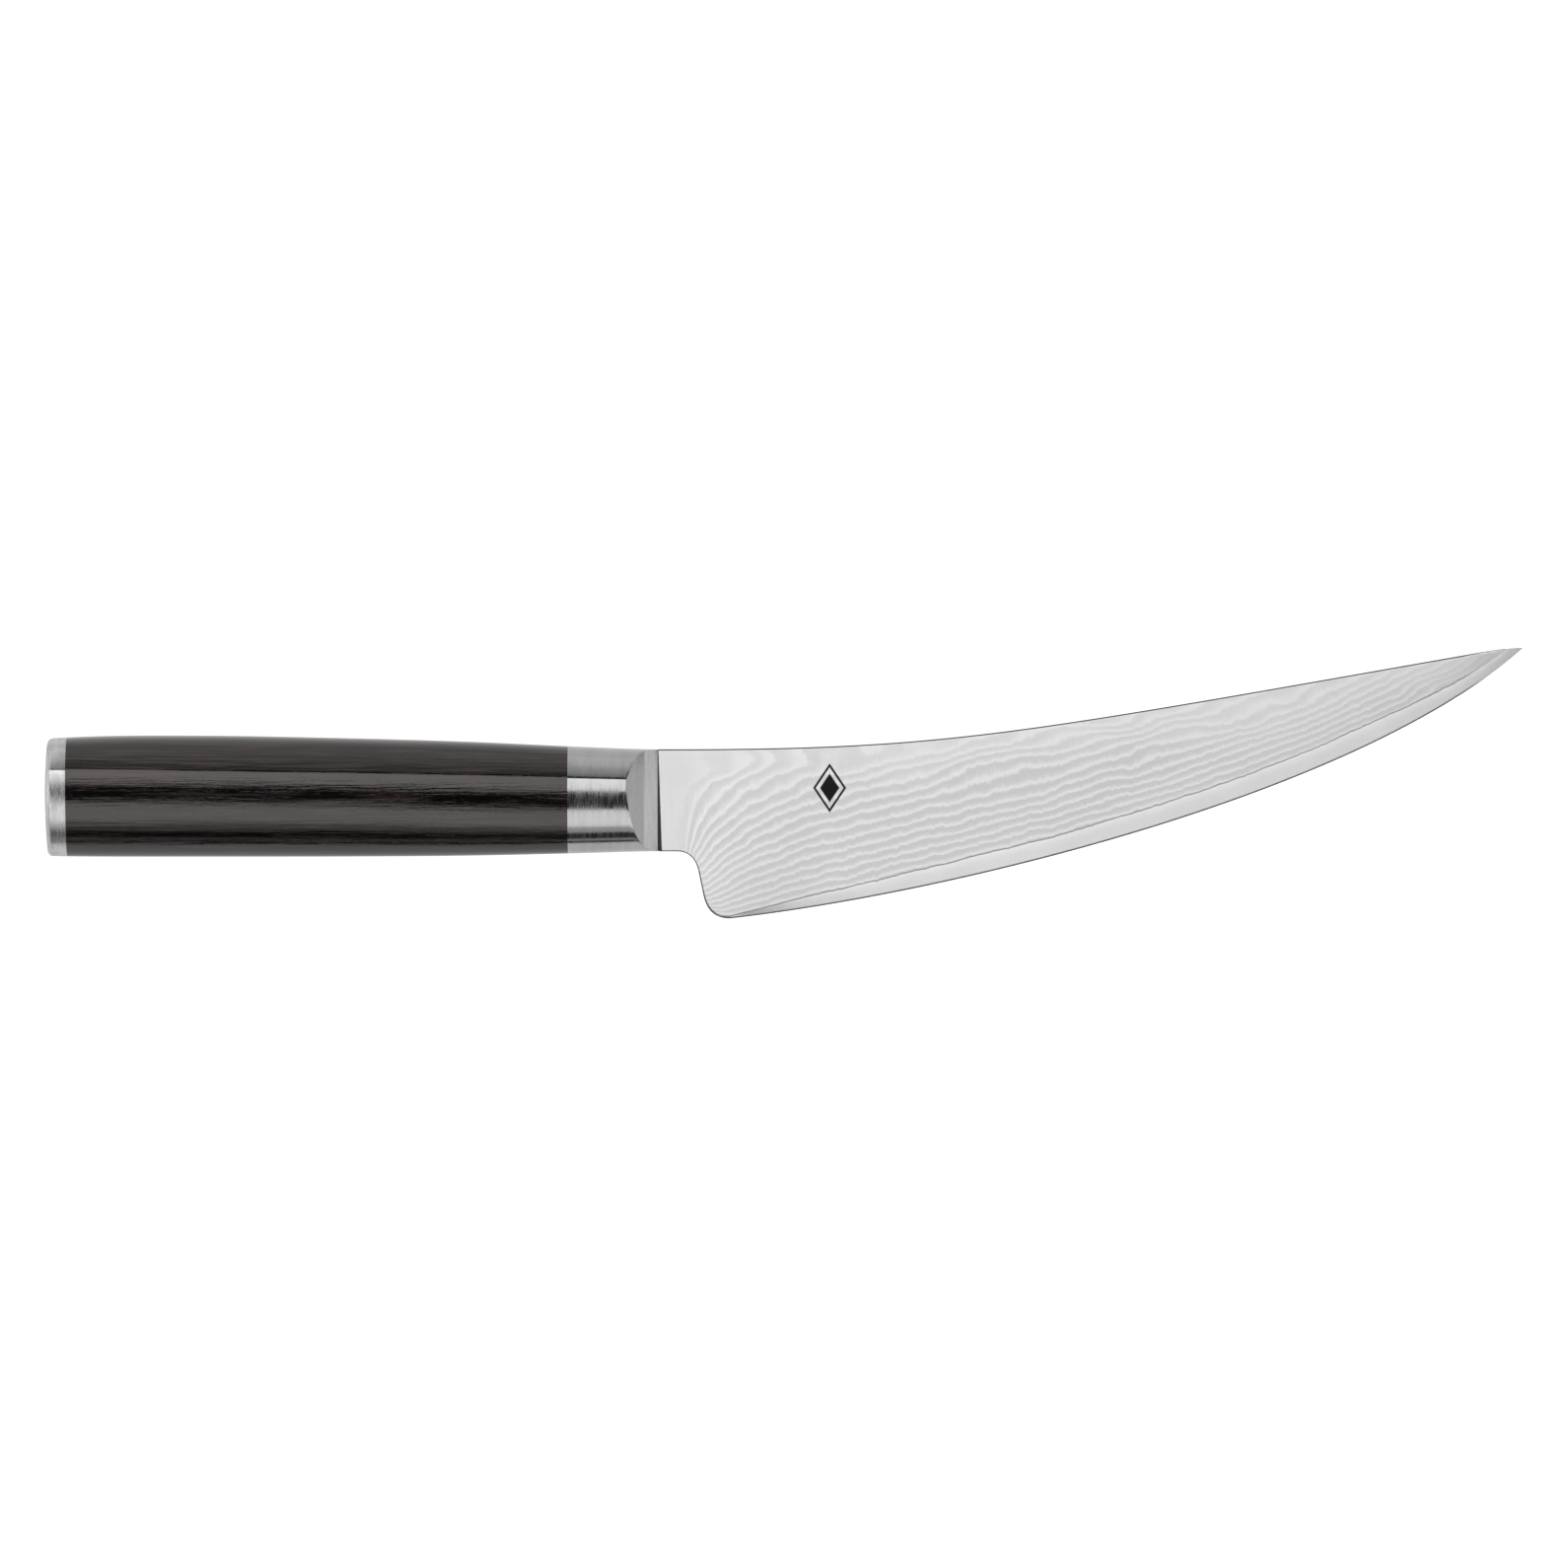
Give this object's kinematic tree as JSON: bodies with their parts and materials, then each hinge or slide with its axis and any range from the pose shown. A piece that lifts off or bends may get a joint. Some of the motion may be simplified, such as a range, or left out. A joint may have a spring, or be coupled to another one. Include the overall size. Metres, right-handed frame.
{
  "type": "boning knife",
  "caption": "Curved boning knife with a layered steel blade, hollow-ground bolster, D-shaped laminated wood handle and steel end cap, for cutting meat from bone.",
  "frame": {"origin": "middle of the knife's bounding box in X and Y, on the surface the left side of the handle lies on", "axes": "+X along the knife to the tip, +Y to the spine, +Z out of the right side of the blade"},
  "size_m": [0.275, 0.0504, 0.0183],
  "materials": {
    "core_steel": "satin, ground along the edge",
    "layered_steel": "satin, etched to show its wavy layers",
    "polished_steel": "polished with fine grinding lines",
    "plain_steel": "plain turned and rolled",
    "adhesive": "cured resin",
    "laminated_wood": "near-black laminated wood, satin"
  },
  "bodies": {
    "root": {"blade_core": "core_steel", "cladding_right": "layered_steel", "cladding_left": "layered_steel", "bolster": "polished_steel", "tang_bar": "plain_steel", "tang_stud": "plain_steel", "tang_adhesive": "adhesive", "handle_body": "laminated_wood", "stud_washer": "plain_steel", "stud_nut": "plain_steel", "end_cap": "polished_steel"}
  },
  "joints": []
}
